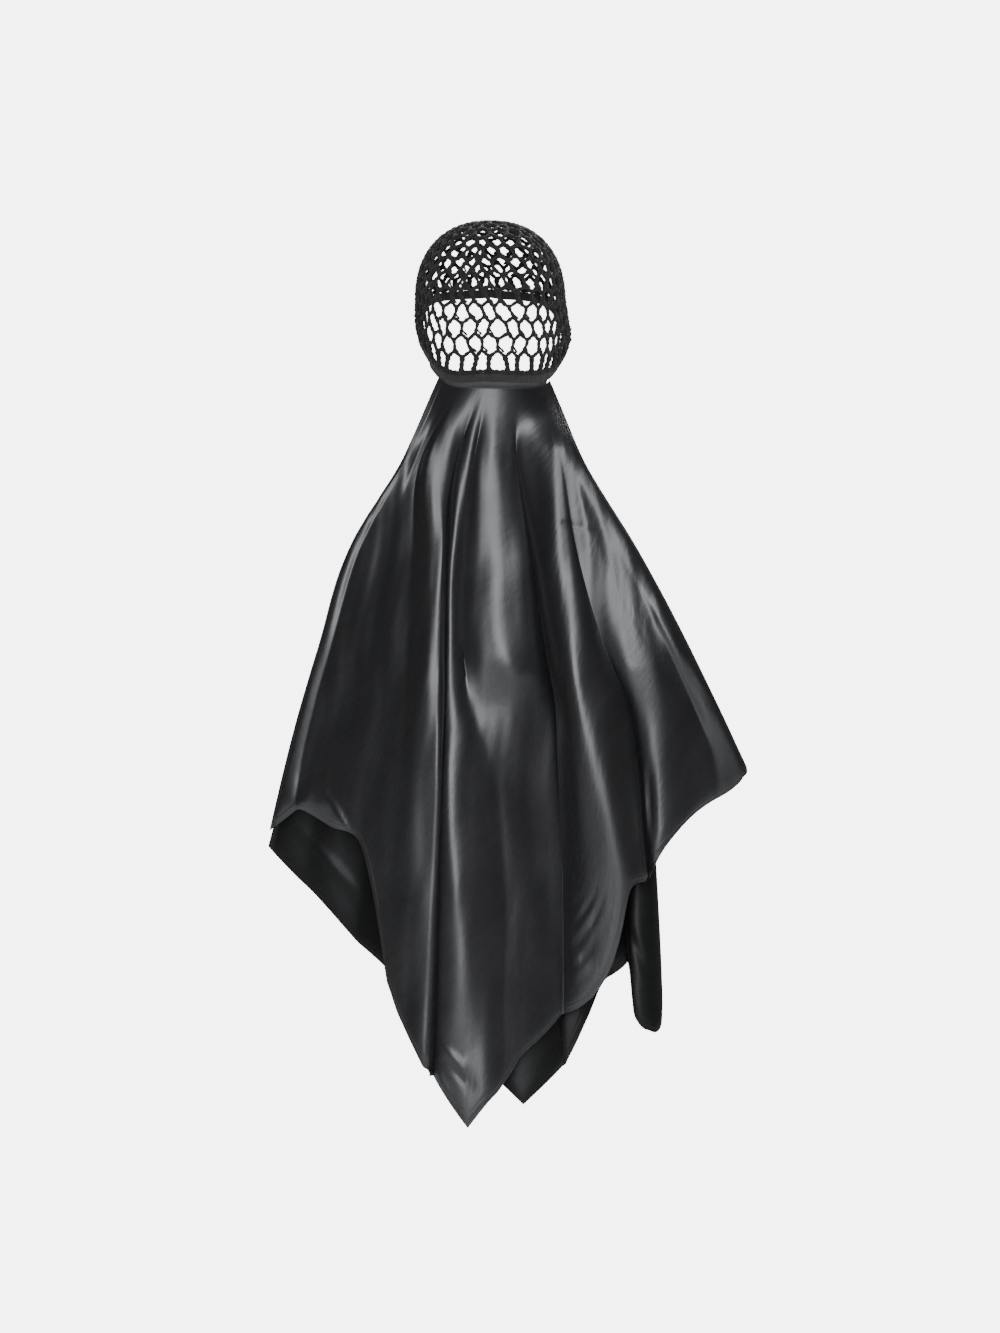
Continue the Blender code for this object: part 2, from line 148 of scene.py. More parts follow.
# The inner layer: held close behind the outer one as far as SEAM_HELD_TO, then looser, and fully
# apart from it at LAYERS_PARTED_BY.
SEAM_SPACING = 0.0024
LOOSE_SPACING = 0.003
LAYER_SPACING = 0.04
SEAM_HELD_TO = 0.011
LAYERS_PARTED_BY = 0.13
INNER_NARROWED = 0.07
INNER_RIPPLE_SHIFT = 0.017

# The turned hems and the free edges, which curl in a little.
HEM_WIDTH = 0.0065
HEM_THICKNESS = 0.0013
HEM_STEP = 0.0008
EDGE_ROUNDING = 0.001
EDGE_CURL = 0.002
CURL_WIDTH = 0.006
EDGE_THINNED_TO = 0.35

# How fast the hem and the curl grow below the seam, and the grid lines kept for the last of the
# cloth: one in HEM_LINES_ONE_IN, from HEM_LINES_FROM of the way down.
WALL_GROWTH = 40
CURL_GROWTH = 5
HEM_LINES_ONE_IN = 8
HEM_LINES_FROM = 0.975

# Dashes of the hem's stitches.
STITCHES_IN_FROM_EDGE = HEM_WIDTH - 0.0014
STITCH_HALF_WIDTH = 0.00035
STITCH_SPACING = 0.003
STITCH_SHARE = 0.7

# Rim: the angle round the head from the nape in degrees, positive to the wearer's right, and the
# depth of the band's lower edge below the crown, as a share of RIM_DEPTH.
RIM = (
    (-180, 0.45), (-140, 0.49), (-105, 0.62), (-78, 0.735),
    (-57, 0.815), (-44, 0.9), (-34, 0.968), (0, 1.000),
    (42, 0.99), (53, 0.97), (64, 0.925), (76, 0.861),
    (90, 0.79), (112, 0.65), (140, 0.51), (180, 0.45),
)

# Depths at which the fold tables give their places, as shares of VEIL_DROP, from the seam down.
STATIONS = (0, 0.1, 0.22, 0.36, 0.43, 0.5, 0.65, 0.85)

# Each row is one crest or hollow, from the wearer's left to right, with these columns.
# seam: its place on the seam, as a share of HEAD_HALF_BREADTH.
# hem: how far down the hem lies below it, as a share of VEIL_DROP.
# across: its place at each station below the seam, as a share of half of VEIL_SPAN.
# stand_out: how far it stands out behind at each of them, as a share of FOLD_DEPTH.
Fold = namedtuple("Fold", ("seam", "hem", "across", "stand_out"))

OUTER_FOLDS = {
    "left_edge": Fold(-0.71, 0.601, (-0.472, -0.707, -0.847, -0.917, -0.978, -1.087, -1.166),
        (0.05, 0.12, 0.15, 0.19, 0.27, 0.35, 0.3)),
    "left_crest": Fold(-0.66, 0.573, (-0.445, -0.651, -0.782, -0.847, -0.9, -0.952, -0.961),
        (-0.05, -0.12, -0.1, -0.07, -0.03, -0.05, 0.1)),
    "left_hollow": Fold(-0.6, 0.596, (-0.428, -0.576, -0.69, -0.743, -0.782, -0.777, -0.777),
        (-0.12, -0.1, -0.04, -0.011, 0, -0.1, -0.3)),
    "low_ripple": Fold(-0.52, 0.63, (-0.41, -0.511, -0.594, -0.611, -0.62, -0.646, -0.629),
        (-0.2, -0.05, 0.1, 0.203, 0.28, 0.2, -0.2)),
    "deep_hollow": Fold(-0.42, 0.805, (-0.389, -0.424, -0.45, -0.462, -0.476, -0.52, -0.546),
        (-0.2, 0.05, 0.25, 0.42, 0.56, 0.5, 0.15)),
    "crest_shoulder": Fold(-0.34, 0.868, (-0.354, -0.345, -0.349, -0.376, -0.402, -0.428, -0.459),
        (0.3, 0.5, 0.74, 0.8, 0.84, 0.8, 0.55)),
    "long_crest": Fold(-0.22, 0.914, (-0.306, -0.301, -0.31, -0.319, -0.323, -0.341, -0.376),
        (0.2, 0.44, 0.67, 0.84, 0.9, 0.86, 0.75)),
    "pleat_line": Fold(-0.12, 0.93, (-0.231, -0.275, -0.284, -0.288, -0.297, -0.306, -0.332),
        (-0.22, -0.2, -0.1, 0.2, 0.42, 0.3, 0.1)),
    "tip_crest": Fold(-0.06, 1.0, (-0.192, -0.249, -0.262, -0.266, -0.271, -0.253, -0.214),
        (0.1, 0.25, 0.22, 0.28, 0.56, 0.8, 0.65)),
    "tip_hollow": Fold(0.0, 0.94, (-0.157, -0.197, -0.205, -0.17, -0.087, -0.026, -0.026),
        (-0.12, -0.12, -0.14, -0.22, -0.22, -0.35, -0.05)),
    "middle_crest": Fold(0.12, 0.905, (-0.083, -0.074, -0.048, 0.017, 0.052, 0.07, 0.052),
        (0.06, 0.1, 0.02, -0.45, -0.62, -0.7, -0.3)),
    "middle_hollow": Fold(0.36, 0.847, (0.031, 0.092, 0.157, 0.197, 0.205, 0.227, 0.231),
        (-0.5, -0.65, -0.85, -1.05, -1.1, -1.2, -1.15)),
    "right_crest": Fold(0.74, 0.689, (0.201, 0.223, 0.293, 0.336, 0.389, 0.489, 0.633),
        (0.2, 0.36, 0.53, 0.64, 0.8, 0.72, 0.5)),
    "right_hollow": Fold(0.76, 0.664, (0.227, 0.288, 0.419, 0.511, 0.55, 0.594, 0.742),
        (0.18, 0.14, -0.3, -0.45, -0.55, -0.65, -0.6)),
    "panel_fold": Fold(0.78, 0.615, (0.253, 0.376, 0.611, 0.668, 0.69, 0.703, 0.786),
        (0.2, 0.36, 0.56, 0.5, 0.45, 0.5, 0.5)),
    "panel_hollow": Fold(0.8, 0.56, (0.279, 0.463, 0.69, 0.795, 0.882, 0.878, 1.004),
        (0.2, 0.66, 0.64, 0.3, 0.25, -0.2, -0.2)),
    "corner_crest": Fold(0.815, 0.529, (0.301, 0.515, 0.751, 0.878, 0.987, 1.144, 1.38),
        (0.18, 0.76, 0.88, 0.72, 0.66, 0.45, 0.3)),
    "right_edge": Fold(0.83, 0.518, (0.328, 0.563, 0.803, 0.911, 1.017, 1.253, 1.537),
        (0, 0.35, 0.4, 0.281, 0.15, 0.1, 0)),
}

INNER_FOLDS = {
    "left_edge": Fold(-0.68, 0.623, (-0.463, -0.672, -0.808, -0.876, -0.943, -1.083, -1.153),
        (0.1, 0.4, 0.7, 0.818, 0.9, 0.9, 0.9)),
    "left_crest": Fold(-0.61, 0.682, (-0.43, -0.57, -0.68, -0.732, -0.78, -0.86, -0.93),
        (0.1, 0.2, 0.2, 0.25, 0.3, 0.3, 0.3)),
    "left_hollow": Fold(-0.52, 0.753, (-0.36, -0.46, -0.53, -0.561, -0.59, -0.64, -0.69),
        (0, -0.2, -0.2, -0.2, -0.2, -0.2, -0.2)),
    "low_crest": Fold(-0.39, 0.845, (-0.26, -0.31, -0.33, -0.341, -0.35, -0.36, -0.36),
        (0.1, 0.2, 0.2, 0.2, 0.2, 0.2, 0.2)),
    "tip_hollow": Fold(-0.23, 0.912, (-0.17, -0.18, -0.18, -0.175, -0.17, -0.17, -0.15),
        (-0.1, -0.3, -0.3, -0.306, -0.3, -0.2, -0.1)),
    "tip_crest": Fold(-0.07, 0.97, (-0.1, -0.07, -0.04, -0.024, -0.01, 0.01, 0.04),
        (-0.2, -0.4, -0.4, -0.361, -0.3, -0.1, 0.1)),
    "middle_hollow": Fold(0.09, 0.918, (-0.022, 0.039, 0.092, 0.112, 0.131, 0.175, 0.223),
        (-0.5, -0.7, -0.8, -0.862, -0.9, -0.8, -0.5)),
    "right_crest": Fold(0.25, 0.848, (0.048, 0.14, 0.21, 0.238, 0.262, 0.306, 0.349),
        (-0.6, -0.8, -0.9, -0.942, -0.95, -0.75, -0.2)),
    "notch": Fold(0.37, 0.8, (0.11, 0.23, 0.32, 0.354, 0.38, 0.41, 0.43),
        (-0.4, -0.6, -0.6, -0.6, -0.6, -0.6, -0.4)),
    "tail_start": Fold(0.45, 0.778, (0.17, 0.301, 0.402, 0.435, 0.459, 0.493, 0.515),
        (-0.6, -0.4, -0.3, -0.299, -0.3, -0.2, -0.1)),
    "tail_side": Fold(0.5, 0.845, (0.192, 0.336, 0.432, 0.46, 0.48, 0.511, 0.533),
        (-0.6, -0.4, -0.2, -0.149, -0.1, 0.1, 0.4)),
    "tail_crest": Fold(0.56, 0.87, (0.223, 0.371, 0.489, 0.525, 0.55, 0.581, 0.603),
        (-0.5, -0.3, -0.1, -0.005, 0.1, 0.4, 0.7)),
    "tail_back": Fold(0.62, 0.846, (0.249, 0.406, 0.537, 0.576, 0.603, 0.638, 0.672),
        (0, 0, 0, 0, 0, 0, 0.1)),
    "behind_tail": Fold(0.67, 0.63, (0.271, 0.441, 0.572, 0.603, 0.62, 0.633, 0.646),
        (0, -0.1, -0.3, -0.406, -0.5, -0.6, -0.7)),
    "hidden_crest": Fold(0.72, 0.558, (0.29, 0.47, 0.65, 0.712, 0.76, 0.83, 0.88),
        (0, 0.1, 0.2, 0.156, 0.1, 0.1, 0.1)),
    "right_edge": Fold(0.77, 0.507, (0.31, 0.51, 0.76, 0.869, 0.97, 1.16, 1.43),
        (0, 0, 0, 0.006, 0, -0.1, -0.1)),
}

# How sharply the cloth turns in a hollow: 0 is as round as its crests, 0.32 a crease, and more
# folds it over. The full value holds where a crest stands out well past FULL_PINCH_AT.
HOLLOW_PINCH = 0.2
SHARP_HOLLOWS = {"pleat_line": 0.36, "tip_hollow": 0.3, "middle_hollow": 0.31, "right_hollow": 0.28}
FULL_PINCH_AT = 0.22

# Short creases and drag lines: both ends as shares across and down, then half width and height in
# metres.
Crease = namedtuple(
    "Crease", ("from_across", "from_down", "to_across", "to_down", "half_width", "height"))
CREASE_END = 0.04
OUTER_CREASES = (
    Crease(0.2, 0.185, 0.36, 0.195, 0.003, -0.0016),
    Crease(0.15, 0.02, 0.42, 0.2, 0.008, 0.0018),
    Crease(-0.8, 0.55, -0.69, 0.615, 0.005, 0.0055),
    Crease(-0.86, 0.545, -0.98, 0.59, 0.006, 0.003),
    Crease(0.27, 0.7, 0.36, 0.745, 0.0035, 0.003),
    Crease(0.28, 0.735, 0.36, 0.785, 0.0035, -0.003),
    Crease(0.32, 0.69, 0.41, 0.725, 0.003, -0.0025),
    Crease(0.25, 0.76, 0.33, 0.8, 0.004, 0.0028),
    Crease(-0.31, 0.885, -0.17, 0.93, 0.0045, 0.0024),
    Crease(-0.26, 0.915, -0.13, 0.96, 0.004, -0.002),
    Crease(-0.35, 0.9, -0.26, 0.965, 0.004, 0.002),
    Crease(0.72, 0.36, 0.94, 0.46, 0.006, -0.0018),
    Crease(0.6, 0.5, 0.62, 0.62, 0.0035, -0.004),
)
INNER_CREASES = (
    Crease(-0.95, 0.59, -0.62, 0.7, 0.006, 0.0025),
    Crease(0.52, 0.73, 0.6, 0.8, 0.004, -0.002),
    Crease(0.33, 0.78, 0.44, 0.73, 0.0045, 0.002),
)

# Soft swells: centre as shares across and down, half width, half height and height in metres.
Swell = namedtuple("Swell", ("across", "down", "half_width", "half_height", "height"))
OUTER_SWELLS = (
    Swell(-0.03, 0.375, 0.024, 0.03, 0.004),
    Swell(-0.88, 0.56, 0.03, 0.016, 0.006),
)

# Fine ripples down the cloth: spacing across, slant, slow change down and height, in metres.
Ripple = namedtuple("Ripple", ("spacing", "slant", "change", "height"))
RIPPLES = (
    Ripple(0.061, 0.1, 0.31, 0.0007),
    Ripple(0.037, -0.08, 0.23, 0.00035),
    Ripple(0.017, 0.05, 0.15, 0.0001),
    Ripple(0.13, 0.35, 0.16, 0.0007),
)

# A layer of cloth: its folds and those that end in a corner, grid columns a fold and lines from
# seam to hem, creases, swells, and whether it is the inner one.
Layer = namedtuple(
    "Layer", ("folds", "corners", "columns", "lines", "creases", "swells", "inner"))
OUTER_LAYER = Layer(
    folds=OUTER_FOLDS,
    corners=("left_edge", "tip_crest", "right_edge"),
    columns=13,
    lines=208,
    creases=OUTER_CREASES,
    swells=OUTER_SWELLS,
    inner=False,
)
INNER_LAYER = Layer(
    folds=INNER_FOLDS,
    corners=("left_edge", "tip_crest", "tail_start", "behind_tail", "right_edge"),
    columns=9,
    lines=160,
    creases=INNER_CREASES,
    swells=(),
    inner=True,
)

# The photograph is about one millimetre a pixel, 1000 by 1333, with its middle here.
PICTURE_MIDDLE = (0.01, -0.06, -0.4445)
PICTURE_HEIGHT = 1.333
CAMERA_DISTANCE = 14.0
SENSOR = 36.0
FLOOR_HEIGHT = -1.3
FLOOR_RADIUS = 2.6
FLOOR_SIDES = 96

# Light of the surroundings, and of the white cone behind the object between two cosines from +Y.
SURROUND_LIGHT = 0.13
WHITE_LIGHT = 6.0
WHITE_FROM = 0.97
WHITE_TO = 0.99

# Soft boxes: name, place, size and power. They look at LIT_POINT.
LIT_POINT = (0.0, -0.1, -0.4)
SOFTBOX_COLOUR = (0.94, 0.96, 1.0)
SOFTBOXES = (
    ("key_softbox", (0.5, -2.8, 1.9), (2.4, 1.5), 92),
    ("level_softbox", (0.0, -3.3, 0.05), (1.3, 1.9), 72),
    ("front_softbox", (0.5, 2.6, 1.6), (1.6, 1.2), 120),
)


def cubic(part, start, start_slope, end, end_slope):
    """Cubic from start to end by its values and slopes there, `part` of the way along."""
    p2, p3 = part**2, part**3
    first = (2 * p3 - 3 * p2 + 1) * start + (p3 - 2 * p2 + part) * start_slope
    return first + (3 * p2 - 2 * p3) * end + (p3 - p2) * end_slope


def smooth_lookup(at, places, values):
    """Cubic curve through (places, values), read at the points `at`, straight on past both ends."""
    places = np.asarray(places, float)
    values = np.asarray(values, float)
    slopes = np.gradient(values, places)
    i = np.clip(np.searchsorted(places, at, side="right") - 1, 0, len(places) - 2)
    step = places[i + 1] - places[i]
    s = (at - places[i]) / step
    inside = np.clip(s, 0, 1)
    curve = cubic(inside, values[i], step * slopes[i], values[i + 1], step * slopes[i + 1])
    beyond = (s - inside) * step
    return curve + beyond * np.where(s > 1, slopes[i + 1], slopes[i])


def eased(share):
    """0 to 1 with level ends."""
    share = np.clip(share, 0, 1)
    return share * share * (3 - 2 * share)


def unit(vectors):
    """Vectors along the last axis, made one long."""
    return vectors / np.maximum(np.linalg.norm(vectors, axis=-1, keepdims=True), 1e-12)


def ring_angles(count):
    """Evenly spread angles of one full turn."""
    return np.arange(count) * math.tau / count


def pole_direction(around, polar):
    """Unit vector from the head's middle, by the angles round the start ring and from it."""
    pole = np.array([0, -math.sin(POLE_TILT), math.cos(POLE_TILT)])
    napeward = np.array([0, -math.cos(POLE_TILT), -math.sin(POLE_TILT)])
    right = np.array([1.0, 0.0, 0.0])
    around, polar = np.broadcast_arrays(np.asarray(around, float), np.asarray(polar, float))
    ring = np.cos(around)[..., None] * napeward + np.sin(around)[..., None] * right
    return np.cos(polar)[..., None] * pole + np.sin(polar)[..., None] * ring


def head_radius(direction):
    """Distance from the head's middle to its surface: a squarish ellipsoid with the ear's swell."""
    height = np.where(direction[..., 2] < 0, NAPE_REACH, CROWN_RISE)
    total = (
        (np.abs(direction[..., 0]) / HEAD_HALF_BREADTH) ** HEAD_SQUARENESS
        + (np.abs(direction[..., 1]) / HEAD_HALF_LENGTH) ** HEAD_SQUARENESS
        + (np.abs(direction[..., 2]) / height) ** HEAD_SQUARENESS
    )
    ear = pole_direction(EAR_AROUND, EAR_POLAR)
    away = np.arccos(np.clip(direction @ ear, -1, 1))
    return total ** (-1 / HEAD_SQUARENESS) + EAR_SWELL * np.exp(-((away / EAR_SPREAD) ** 2))


def on_head(around, polar, standoff):
    """Points `standoff` over the head's surface, along the line from its middle."""
    direction = pole_direction(around, polar)
    reach = head_radius(direction) + standoff
    return HEAD_MIDDLE + reach[..., None] * direction


def rim_polar(around, rise=0.0):
    """Polar angle of the band's lower edge, or of the line `rise` above it, found by halving."""
    around = np.asarray(around, float)
    turned = (np.degrees(around) + 180) % 360 - 180
    depth = RIM_DEPTH * smooth_lookup(turned, *zip(*RIM))
    above = np.full(around.shape, RIM_SEARCH_FROM)
    below = np.full(around.shape, RIM_SEARCH_TO)
    for _ in range(RIM_SEARCH_STEPS):
        middle = (above + below) / 2
        too_high = -on_head(around, middle, 0.0)[..., 2] < depth
        above, below = np.where(too_high, middle, above), np.where(too_high, below, middle)
    return above - rise / head_radius(pole_direction(around, above))


def grid_quads(rows, columns, rows_close=False, columns_close=False):
    """Quads between neighbouring points of a grid numbered row by row.

    A side that closes joins its last line to its first.
    """
    grid = np.arange(rows * columns).reshape(rows, columns)
    if rows_close:
        grid = np.concatenate([grid, grid[:1]])
    if columns_close:
        grid = np.concatenate([grid, grid[:, :1]], axis=1)
    quads = [grid[:-1, :-1], grid[:-1, 1:], grid[1:, 1:], grid[1:, :-1]]
    return np.stack(quads, axis=-1).reshape(-1, 4)


def add_piece(name, points, faces, material, flat_places=None, marks=None):
    """Smooth mesh object from arrays.

    flat_places is its UV map in metres, and marks are named values at its points.
    """
    mesh = bpy.data.meshes.new(name)
    mesh.from_pydata(points.reshape(-1, 3), [], faces)
    mesh.update()
    corners = np.empty(len(mesh.loops), int)
    mesh.loops.foreach_get("vertex_index", corners)
    if flat_places is not None:
        layer = mesh.uv_layers.new(name="cloth")
        layer.data.foreach_set("uv", flat_places.reshape(-1, 2)[corners].ravel())
    for mark, values in (marks or {}).items():
        mesh.attributes.new(mark, "FLOAT", "POINT").data.foreach_set("value", values.ravel())
    mesh.polygons.foreach_set("use_smooth", np.ones(len(mesh.polygons), bool))
    mesh.materials.append(material)
    piece = bpy.data.objects.new(name, mesh)
    bpy.context.scene.collection.objects.link(piece)
    return piece


def path_ways(paths, closed):
    """Unit vectors along the paths at each station."""
    if closed:
        return unit(np.roll(paths, -1, axis=1) - np.roll(paths, 1, axis=1))
    padded = np.concatenate([paths[:, :1], paths, paths[:, -1:]], axis=1)
    return unit(padded[:, 2:] - padded[:, :-2])


def laid_yarn(paths, radius, closed=False, sides=YARN_SIDES):
    """Skins of many cords at once, paths being cords x stations x 3.

    Round each path point goes a ring of `sides` points. Its radius is `radius` times one plus
    PLY_SWELL of the cosine of twice the angle less the lay times the length so far: two plies
    laid round each other. Gives the skin, its faces and its flat places.
    """
    along = path_ways(paths, closed)
    outward = outward_of(paths)
    normal = unit(outward - np.sum(outward * along, axis=-1, keepdims=True) * along)
    side = np.cross(along, normal)
    steps = np.linalg.norm(np.diff(paths, axis=1, prepend=paths[:, :1]), axis=-1)
    run = np.cumsum(steps, axis=1)
    if closed:
        turns = np.round(run[:, -1:] * YARN_LAY / math.tau)
        last_step = np.linalg.norm(paths[:, :1] - paths[:, -1:], axis=-1)
        lay = run * turns * math.tau / (run[:, -1:] + last_step)
    else:
        lay = run * YARN_LAY
    angle = ring_angles(sides)
    swell = 1 + PLY_SWELL * np.cos(2 * angle - lay[..., None])
    reach = (np.asarray(radius)[..., None] * swell)[..., None]
    ring = (
        np.cos(angle)[:, None] * normal[..., None, :]
        + np.sin(angle)[:, None] * side[..., None, :]
    )
    skin = paths[..., None, :] + reach * ring
    cords, stations = paths.shape[:2]
    one = grid_quads(stations, sides, rows_close=closed, columns_close=True)[:, ::-1]
    quads = (np.arange(cords)[:, None, None] * stations * sides + one).reshape(-1, 4)
    girth = angle / math.tau * YARN_GIRTH
    places = np.stack(np.broadcast_arrays(girth, run[..., None]), axis=-1)
    if closed:
        return skin, quads.tolist(), places
    first = np.arange(cords)[:, None] * stations * sides
    last = first + (stations - 1) * sides
    ends = np.concatenate([first + np.arange(sides), last + np.arange(sides)[::-1]])
    return skin, quads.tolist() + ends.tolist(), places


def next_round(tops, count):
    """Angles of the next round's posts: one in each arch above, and two in evenly spread arches."""
    arches = len(tops)
    widths = (np.roll(tops, -1) - tops) % math.tau
    extra = count - arches
    doubled = {int((k + 0.5) * arches / extra) for k in range(extra)}
    angles = []
    for k in range(arches):
        shares = (1 / 3, 2 / 3) if k in doubled else (1 / 2,)
        angles += [tops[k] + widths[k] * share for share in shares]
    return np.array(angles)


def net_rounds():
    """For each round of posts: the angles of their tops and of their feet, more evenly spaced."""
    rounds = []
    tops = ring_angles(ROUND_POSTS[0])
    for k, count in enumerate(ROUND_POSTS):
        if k:
            tops = next_round(rounds[-1][1], count)
        tops = np.unwrap(tops)
        level = np.mean(tops - ring_angles(count)) + ring_angles(count)
        j = np.arange(count)
        uneven = np.sin(j * 2.4 + k * 1.7) + np.sin(j * 0.9 + k * 4.1)
        drift = POST_DRIFT * uneven + NET_TWIST / len(ROUND_POSTS)
        rounds.append((tops, tops + POST_LEVELLING * (level - tops) + drift))
    return rounds


def net_place(around, share, lift, standoff=NET_STANDOFF):
    """Points of the net at a share of the way from start ring to band, moved up by `lift`."""
    first = START_RING_RADIUS / CROWN_RISE
    last = rim_polar(around, BAND_HEIGHT + SEAT_GAP + NET_STANDOFF)
    polar = first + share * (last - first)
    polar = polar - lift / head_radius(pole_direction(around, polar))
    return on_head(around, polar, standoff)


def outward_of(points):
    """Unit vectors from the head's middle to the points."""
    return unit(points - HEAD_MIDDLE)


def round_joints(rounds, r):
    """Angle and lift of each joint on a round, in order.

    The feet of the posts above pull the round up, and the tops of the posts below pull it down.
    """
    zigzag = 0.0 if r in (0, len(rounds)) else ROUND_ZIGZAG
    ends = []
    if r < len(rounds):
        ends.append((rounds[r][0], -zigzag))
    if r:
        ends.append((rounds[r - 1][1], zigzag))
    angles = np.concatenate([angle % math.tau for angle, _ in ends])
    lifts = np.concatenate([np.full(len(angle), lift) for angle, lift in ends])
    order = np.argsort(angles)
    return angles[order], lifts[order]


def round_wave(angles, lifts, around):
    """Lift of a round at the angles `around`: an eased wave through its joints."""
    places = np.concatenate([angles[-1:] - math.tau, angles, angles[:1] + math.tau])
    lifts = np.concatenate([lifts[-1:], lifts, lifts[:1]])
    i = np.clip(np.searchsorted(places, around, side="right") - 1, 0, len(places) - 2)
    part = (around - places[i]) / (places[i + 1] - places[i])
    wave = WAVE_STRAIGHTNESS * part + (1 - WAVE_STRAIGHTNESS) * eased(part)
    return lifts[i] + (lifts[i + 1] - lifts[i]) * wave


def post_cords(rounds, r):
    """Paths of one round's posts, bowed a little sideways, and their radii, waisted half way."""
    tops, feet = rounds[r]
    last = r == len(rounds) - 1
    top_lift = -ROUND_ZIGZAG if r else 0.0
    foot_lift = 0.0 if last else ROUND_ZIGZAG
    down = np.linspace(0, 1, POST_STATIONS)[None, :]
    j = np.arange(len(tops))[:, None]
    bow = POST_BOW * np.sin(down * math.pi) * np.sin(j * 3.7 + r * 2.1)
    angle = tops[:, None] + (feet - tops)[:, None] * eased(down) + bow
    lift = top_lift + (foot_lift - top_lift) * down
    size = HEM_POST_SWELL if last else 1.0
    radius = YARN_RADIUS * size * (POST_END_SWELL - POST_WAIST * np.sin(down * math.pi))
    path = net_place(angle, (r + down) / len(rounds), lift)
    return path, np.broadcast_to(radius, angle.shape)


def leg_cords(rounds, r):
    """Paths of the thin second legs that part from one round's posts above their feet."""
    tops, feet = rounds[r]
    down = np.linspace(0, 1, POST_STATIONS)[None, :]
    j = np.arange(len(tops))[:, None]
    below = LEG_FROM + (1 - LEG_FROM) * down
    spread = (LEG_SPREAD + LEG_SPREAD_CHANGE * np.sin(j * 5.3 + r)) * eased(down)
    angle = tops[:, None] + (feet - tops)[:, None] * below + spread
    lift = ROUND_ZIGZAG * ((1 + LEG_FOOT_LIFT) * below - 1)
    return net_place(angle, (r + below) / len(rounds), lift, LEG_STANDOFF)


def make_net(yarn):
    """The net: closed wavy rounds, posts between them with second legs, and knots at the joints.

    The rounds' waves are pulled up and down by the posts, so each gap is a rounded hexagon.
    """
    rounds = net_rounds()
    rows = len(rounds)
    around = ring_angles(ROUND_STATIONS)
    rings, knots, knot_sizes = [], [], []
    for r in range(rows + 1):
        angles, lifts = round_joints(rounds, r)
        rings.append(net_place(around, r / rows, round_wave(angles, lifts, around)))
        knots.append(net_place(angles, r / rows, lifts))
        knot_sizes.append(np.full(len(angles), HEM_KNOT_SWELL if r == rows else 1.0))
    rings = np.stack(rings)
    uneven = sum(share * np.sin(around * waves + shift) for waves, shift, share in ROUND_SWELLS)
    posts, post_radii = map(np.concatenate, zip(*(post_cords(rounds, r) for r in range(rows))))
    legs = np.concatenate([leg_cords(rounds, r) for r in range(2, rows - 1)])
    cords = (
        ("net_rounds", laid_yarn(rings, YARN_RADIUS * (1 + uneven), closed=True)),
        ("net_posts", laid_yarn(posts, post_radii)),
        ("net_legs", laid_yarn(legs, LEG_RADIUS, sides=LEG_SIDES)),
    )
    pieces = [add_piece(name, skin, faces, yarn, places) for name, (skin, faces, places) in cords]
    return pieces + [make_knots(np.concatenate(knots), np.concatenate(knot_sizes), yarn)]


def make_knots(centres, sizes, yarn):
    """A knot at each joint: a small ball, flattened towards the head, with a rippled radius."""
    tall, sides = KNOT_RINGS, KNOT_SIDES
    up = np.linspace(0, math.pi, tall)[1:-1, None]
    turn = ring_angles(sides)[None, :]
    outward = outward_of(centres)
    across = unit(np.cross(outward, np.array([0.0, 0.0, 1.0])) + 1e-9)
    upward = np.cross(across, outward)
    ripple = 1 + KNOT_RIPPLE * np.cos(3 * turn + 4 * up)
    radius = KNOT_RADIUS * sizes[:, None, None]
    local = np.stack([
        np.sin(up) * np.cos(turn) * ripple,
        np.cos(up) * np.ones_like(turn) * ripple,
        KNOT_FLATNESS * np.sin(up) * np.sin(turn) * ripple,
    ], axis=-1)
    axes = np.stack([across, upward, outward], axis=1)
    body = centres[:, None, None] + radius[..., None] * np.einsum("rci,kij->krcj", local, axes)
    rings = (tall - 2) * sides
    poles = centres[:, None] + radius * np.array([1.0, -1.0])[None, :, None] * upward[:, None]
    points = np.concatenate([body.reshape(len(centres), rings, 3), poles], axis=1)
    quads = grid_quads(tall - 2, sides, columns_close=True)[:, ::-1]
    ring = np.arange(sides)
    top = np.stack([np.full(sides, rings), ring, (ring + 1) % sides], axis=1)
    last = rings - sides
    bottom = np.stack([np.full(sides, rings + 1), last + (ring + 1) % sides, last + ring], axis=1)
    base = np.arange(len(centres))[:, None, None] * (rings + 2)
    faces = (base + quads).reshape(-1, 4).tolist()
    faces += (base + top[:, ::-1]).reshape(-1, 3).tolist()
    faces += (base + bottom[:, ::-1]).reshape(-1, 3).tolist()
    return add_piece("net_knots", points, faces, yarn)


def rim_strip(name, angles, section, relief, closed, material):
    """A soft strip along the rim, standing on the head.

    Its section is a rounded rectangle, from the power form of an ellipse. `relief` gives the
    share by which it swells at each station and section point.
    """
    turn = ring_angles(section.points)
    rise = np.sign(np.cos(turn)) * np.abs(np.cos(turn)) ** RISE_POWER
    out = np.sign(np.sin(turn)) * np.abs(np.sin(turn)) ** OUT_POWER
    rises = section.low + section.height / 2 * (1 + rise)
    polar = np.stack([rim_polar(angles, r) for r in rises], axis=1)
    swollen = out[None, :] * (1 + relief(angles[:, None], turn[None, :]))
    outs = section.thickness / 2 * (1 + swollen)
    points = on_head(angles[:, None], polar, outs)
    steps = np.linalg.norm(np.diff(points[:, 0], axis=0, prepend=points[:1, 0]), axis=1)
    run = np.cumsum(steps)
    places = np.stack(np.broadcast_arrays(run[:, None], rises[None, :]), axis=-1)
    count = section.points
    faces = grid_quads(len(angles), count, rows_close=closed, columns_close=True).tolist()
    if not closed:
        last = (len(angles) - 1) * count
        faces += [list(range(count)), [last + c for c in reversed(range(count))]]
    return add_piece(name, points, faces, material, places)


